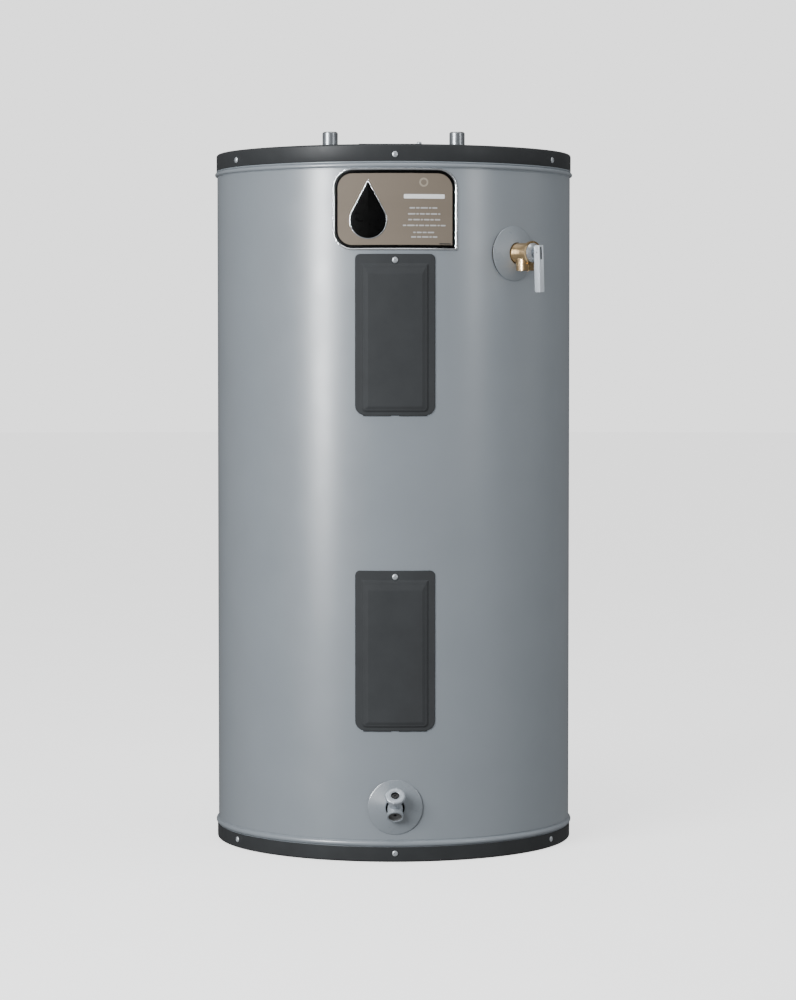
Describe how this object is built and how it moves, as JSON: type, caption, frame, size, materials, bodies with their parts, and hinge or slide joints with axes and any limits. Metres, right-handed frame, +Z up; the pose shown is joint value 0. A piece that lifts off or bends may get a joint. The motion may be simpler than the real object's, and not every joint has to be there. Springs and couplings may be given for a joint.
{
  "type": "tank water heater",
  "caption": "Upright electric storage water heater: grey cylindrical jacket, dark end caps, stamped access panels, badge, relief valve, drain valve and two pipe nipples on top.",
  "frame": {"origin": "centre of the base pan's underside, on the floor", "axes": "+Z up along the tank, -Y to the front with the access panels, +X to the viewer's right facing the front"},
  "size_m": [0.6176, 0.6666, 1.2216],
  "materials": {
    "jacket_paint": "satin baked enamel, warm mid grey",
    "cap_paint": "fine-textured charcoal enamel",
    "panel_paint": "satin charcoal enamel",
    "zinc_steel": "bright zinc plate",
    "tank_steel": "glass-lined mild steel, outside primed dark",
    "pipe_steel": "galvanised",
    "chrome_trim": "bright chrome",
    "badge_face": "warm taupe metallic",
    "emblem_black": "gloss black",
    "ring_paint": "satin enamel like the jacket's",
    "brass": "machined",
    "satin_nickel": "satin nickel plate",
    "spring_steel": "spring steel",
    "plain_steel": "stainless",
    "rubber": "matt",
    "blue_plastic": "moulded",
    "red_plastic": "moulded",
    "pale_plastic": "moulded",
    "dark_plastic": "phenolic moulding",
    "magnesium": "cast",
    "foam": "rigid polyurethane foam",
    "wool": "glass wool batt",
    "support_board": "pressed fibre",
    "sheath": "nickel-copper sheath",
    "black_wire": "PVC insulation",
    "red_wire": "PVC insulation",
    "conduit_plastic": "PVC tube",
    "ground_green": "green dyed zinc"
  },
  "bodies": {
    "heater": {"jacket": "jacket_paint", "jacket_seam_rivets": "zinc_steel", "top_cap": "cap_paint", "base_pan": "cap_paint", "top_cap_screws": "zinc_steel", "base_pan_screws": "zinc_steel", "badge_frame": "chrome_trim", "badge_plate": "badge_face", "badge_emblem": "emblem_black", "relief_trim_ring": "ring_paint", "drain_trim_ring": "ring_paint", "relief_valve_body": "brass", "relief_bonnet": "plain_steel", "relief_spring": "spring_steel", "relief_probe": "plain_steel", "drain_valve_body": "satin_nickel", "drain_bonnet": "satin_nickel", "tank_shell": "tank_steel", "base_support": "support_board", "cold_inlet_nipple": "pipe_steel", "hot_outlet_nipple": "pipe_steel", "dip_tube": "pale_plastic", "hot_nipple_liner": "pale_plastic", "cold_inlet_ring": "blue_plastic", "hot_outlet_ring": "red_plastic", "anode_rod": "magnesium", "upper_element": "sheath", "lower_element": "sheath", "element_gaskets": "rubber", "element_terminal_blocks": "dark_plastic", "upper_thermostat": "dark_plastic", "lower_thermostat": "dark_plastic", "thermostat_brackets": "spring_steel", "terminal_screws": "zinc_steel", "junction_box": "zinc_steel", "ground_screw": "ground_green", "wire_conduits": "conduit_plastic", "black_leads": "black_wire", "red_leads": "red_wire", "foam_insulation": "foam"},
    "relief_stem_group": {"relief_stem": "plain_steel", "relief_seat_disc": "plain_steel", "relief_lever_pin": "plain_steel"},
    "relief_lever_group": {"relief_lever": "plain_steel"},
    "drain_washer_group": {"drain_washer": "rubber"},
    "drain_handle_group": {"drain_stem": "brass", "drain_handwheel": "satin_nickel", "drain_handwheel_screw": "plain_steel"},
    "upper_panel_group": {"upper_panel": "panel_paint", "upper_panel_screw": "zinc_steel", "upper_panel_pad": "wool"},
    "lower_panel_group": {"lower_panel": "panel_paint", "lower_panel_screw": "zinc_steel", "lower_panel_pad": "wool"},
    "junction_cover_group": {"junction_box_cover": "cap_paint", "junction_cover_screws": "zinc_steel"},
    "anode_cap_group": {"anode_access_cap": "dark_plastic"},
    "reset_button_group": {"reset_button": "red_plastic"},
    "upper_dial_group": {"upper_temperature_dial": "pale_plastic"},
    "lower_dial_group": {"lower_temperature_dial": "pale_plastic"}
  },
  "joints": [
    {"name": "relief_lift", "type": "slide", "parent": "heater", "child": "relief_stem_group", "axis": [0.6455, -0.7638, 0], "range_m": [0, 0.0031], "deforming": ["relief_spring"]},
    {"name": "relief_lever_swing", "type": "hinge", "parent": "relief_stem_group", "child": "relief_lever_group", "pos_m": [0.2374, -0.28092, 1.004], "axis": [-0.7638, -0.6455, 0], "range_deg": [0, 85], "stiffness_Nm_per_rad": 0.012, "springref_deg": -28.65},
    {"name": "drain_lift", "type": "slide", "parent": "heater", "child": "drain_washer_group", "axis": [0, -0.7071, 0.7071], "range_m": [0, 0.003]},
    {"name": "drain_handle_turn", "type": "hinge", "parent": "drain_washer_group", "child": "drain_handle_group", "pos_m": [0, -0.3208, 0.091], "axis": [0, -0.7071, 0.7071], "range_deg": [0, 720]},
    {"name": "upper_panel_off", "type": "slide", "parent": "heater", "child": "upper_panel_group", "axis": [0, -1, 0], "range_m": [0, 0.15]},
    {"name": "lower_panel_off", "type": "slide", "parent": "heater", "child": "lower_panel_group", "axis": [0, -1, 0], "range_m": [0, 0.15]},
    {"name": "junction_cover_off", "type": "slide", "parent": "heater", "child": "junction_cover_group", "axis": [0, 0, 1], "range_m": [0, 0.1]},
    {"name": "anode_cap_off", "type": "slide", "parent": "heater", "child": "anode_cap_group", "axis": [0, 0, 1], "range_m": [0, 0.05]},
    {"name": "reset_button_press", "type": "slide", "parent": "heater", "child": "reset_button_group", "axis": [0, 1, 0], "range_m": [0, 0.0018], "stiffness_N_per_m": 400, "springref_m": -0.002},
    {"name": "upper_dial_turn", "type": "hinge", "parent": "heater", "child": "upper_dial_group", "pos_m": [0, -0.2734, 0.861], "axis": [0, -1, 0], "range_deg": [-120, 120]},
    {"name": "lower_dial_turn", "type": "hinge", "parent": "heater", "child": "lower_dial_group", "pos_m": [0, -0.2734, 0.372], "axis": [0, -1, 0], "range_deg": [-120, 120]}
  ],
  "couplings": [
    {"joint": "relief_lift", "follows": "relief_lever_swing", "m_per_rad": 0.002022},
    {"joint": "drain_handle_turn", "follows": "drain_lift", "rad_per_m": 4188.8}
  ]
}
